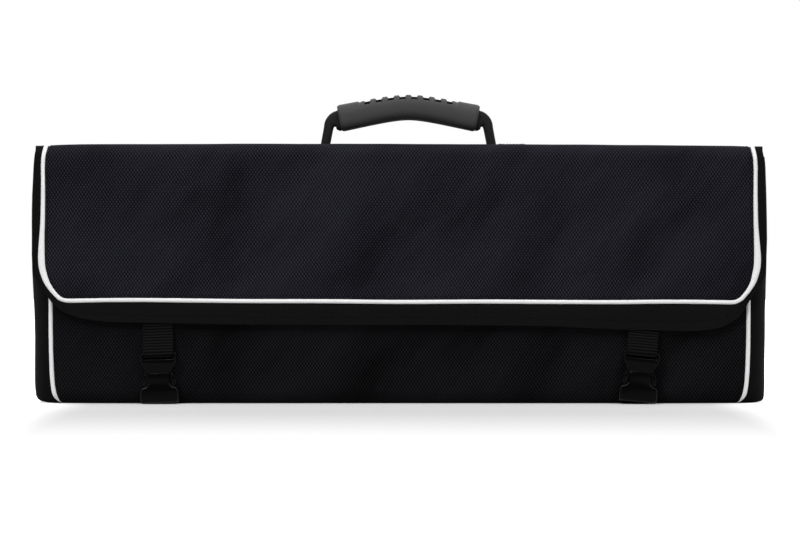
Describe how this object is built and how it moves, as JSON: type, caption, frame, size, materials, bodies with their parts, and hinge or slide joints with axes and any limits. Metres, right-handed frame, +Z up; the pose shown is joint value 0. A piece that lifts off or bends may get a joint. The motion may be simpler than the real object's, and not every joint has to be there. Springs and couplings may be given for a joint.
{
  "type": "hard chef knife case",
  "caption": "Long stiffened fabric knife case: folding top, buckled front flap with white piping, rubber-grip handle, and pocketed walls and divider page inside.",
  "frame": {"origin": "middle of the footprint that the case stands on, at its bounding box's bottom centre", "axes": "+X to the right seen from the front, -Y out of the front flap, +Z up"},
  "size_m": [0.4986, 0.0732, 0.205],
  "materials": {
    "nylon": "heavy black nylon with a coarse diagonal weave",
    "plain_fabric": "plain black binding and gusset fabric",
    "piping": "off-white corded piping",
    "board": "dark plastic stiffening board",
    "lining": "smooth dark lining fabric",
    "foam": "closed-cell foam pad",
    "webbing": "black ribbed webbing",
    "elastic": "black woven elastic",
    "buckle": "black moulded acetal, satin",
    "rubber": "dark grey moulded rubber"
  },
  "bodies": {
    "case_body": {"front_cover": "nylon", "back_cover": "nylon", "bottom_cover": "nylon", "left_body_piping": "piping", "right_body_piping": "piping", "left_end_gusset": "plain_fabric", "right_end_gusset": "plain_fabric", "left_end_pad": "foam", "right_end_pad": "foam", "front_board": "board", "back_board": "board", "bottom_board": "board", "left_end_board": "board", "right_end_board": "board", "lining": "lining", "left_end_lining": "lining", "right_end_lining": "lining", "front_edge_binding": "plain_fabric", "back_edge_binding": "plain_fabric", "front_pocket_sheet": "lining", "back_pocket_sheet": "lining", "front_elastic_band": "elastic", "back_elastic_band": "elastic", "divider_hinge_tape": "plain_fabric", "left_socket": "buckle", "right_socket": "buckle", "left_socket_tab": "webbing", "right_socket_tab": "webbing"},
    "lid": {"lid_cover": "nylon", "lid_board": "board", "lid_lining": "lining", "left_lid_border": "plain_fabric", "right_lid_border": "plain_fabric", "left_lid_piping": "piping", "right_lid_piping": "piping", "left_handle_foot": "webbing", "right_handle_foot": "webbing", "left_handle_leg": "webbing", "right_handle_leg": "webbing"},
    "handle": {"handle_core": "webbing", "handle_grip": "rubber"},
    "flap": {"flap_cover": "nylon", "flap_board": "board", "flap_lining": "lining", "flap_border": "plain_fabric", "flap_piping": "piping", "left_strap": "webbing", "right_strap": "webbing"},
    "left_plug": {"left_plug_frame": "buckle"},
    "left_outer_arm": {"left_plug_outer_arm": "buckle"},
    "left_inner_arm": {"left_plug_inner_arm": "buckle"},
    "right_plug": {"right_plug_frame": "buckle"},
    "right_outer_arm": {"right_plug_outer_arm": "buckle"},
    "right_inner_arm": {"right_plug_inner_arm": "buckle"},
    "divider": {"divider_board": "board", "divider_binding": "plain_fabric", "divider_front_sheet": "lining", "divider_back_sheet": "lining"}
  },
  "joints": [
    {"name": "lid_hinge", "type": "hinge", "parent": "case_body", "child": "lid", "pos_m": [0, 0.03665, 0.1721], "axis": [-1, 0, 0], "range_deg": [0, 105]},
    {"name": "flap_hinge", "type": "hinge", "parent": "lid", "child": "flap", "pos_m": [0, -0.03265, 0.1721], "axis": [-1, 0, 0], "range_deg": [0, 180]},
    {"name": "handle_swing", "type": "hinge", "parent": "lid", "child": "handle", "pos_m": [0.006, 0.002, 0.175], "axis": [-1, 0, 0], "range_deg": [-48, 48], "deforming": ["left_handle_leg", "right_handle_leg"]},
    {"name": "left_plug_slide", "type": "slide", "parent": "flap", "child": "left_plug", "axis": [-0.0349, 0, 0.9994], "range_m": [0, 0.0127], "deforming": ["left_strap"]},
    {"name": "right_plug_slide", "type": "slide", "parent": "flap", "child": "right_plug", "axis": [0.0958, 0, 0.9954], "range_m": [0, 0.0127], "deforming": ["right_strap"]},
    {"name": "left_outer_arm_squeeze", "type": "hinge", "parent": "left_plug", "child": "left_outer_arm", "pos_m": [-0.16548, -0.0329, 0.02064], "axis": [0, -1, 0], "range_deg": [0, 8], "stiffness_Nm_per_rad": 0.3},
    {"name": "left_inner_arm_squeeze", "type": "hinge", "parent": "left_plug", "child": "left_inner_arm", "pos_m": [-0.15529, -0.0329, 0.021], "axis": [0, 1, 0], "range_deg": [0, 8]},
    {"name": "right_outer_arm_squeeze", "type": "hinge", "parent": "right_plug", "child": "right_outer_arm", "pos_m": [0.16543, -0.0329, 0.02101], "axis": [0, 1, 0], "range_deg": [0, 8], "stiffness_Nm_per_rad": 0.3},
    {"name": "right_inner_arm_squeeze", "type": "hinge", "parent": "right_plug", "child": "right_inner_arm", "pos_m": [0.15528, -0.0329, 0.02199], "axis": [0, -1, 0], "range_deg": [0, 8]},
    {"name": "divider_swing", "type": "hinge", "parent": "case_body", "child": "divider", "pos_m": [0, 0.00465, 0.0064], "axis": [1, 0, 0], "range_deg": [-6, 6]}
  ],
  "couplings": [
    {"joint": "left_inner_arm_squeeze", "follows": "left_outer_arm_squeeze", "ratio": 1},
    {"joint": "right_inner_arm_squeeze", "follows": "right_outer_arm_squeeze", "ratio": 1}
  ]
}
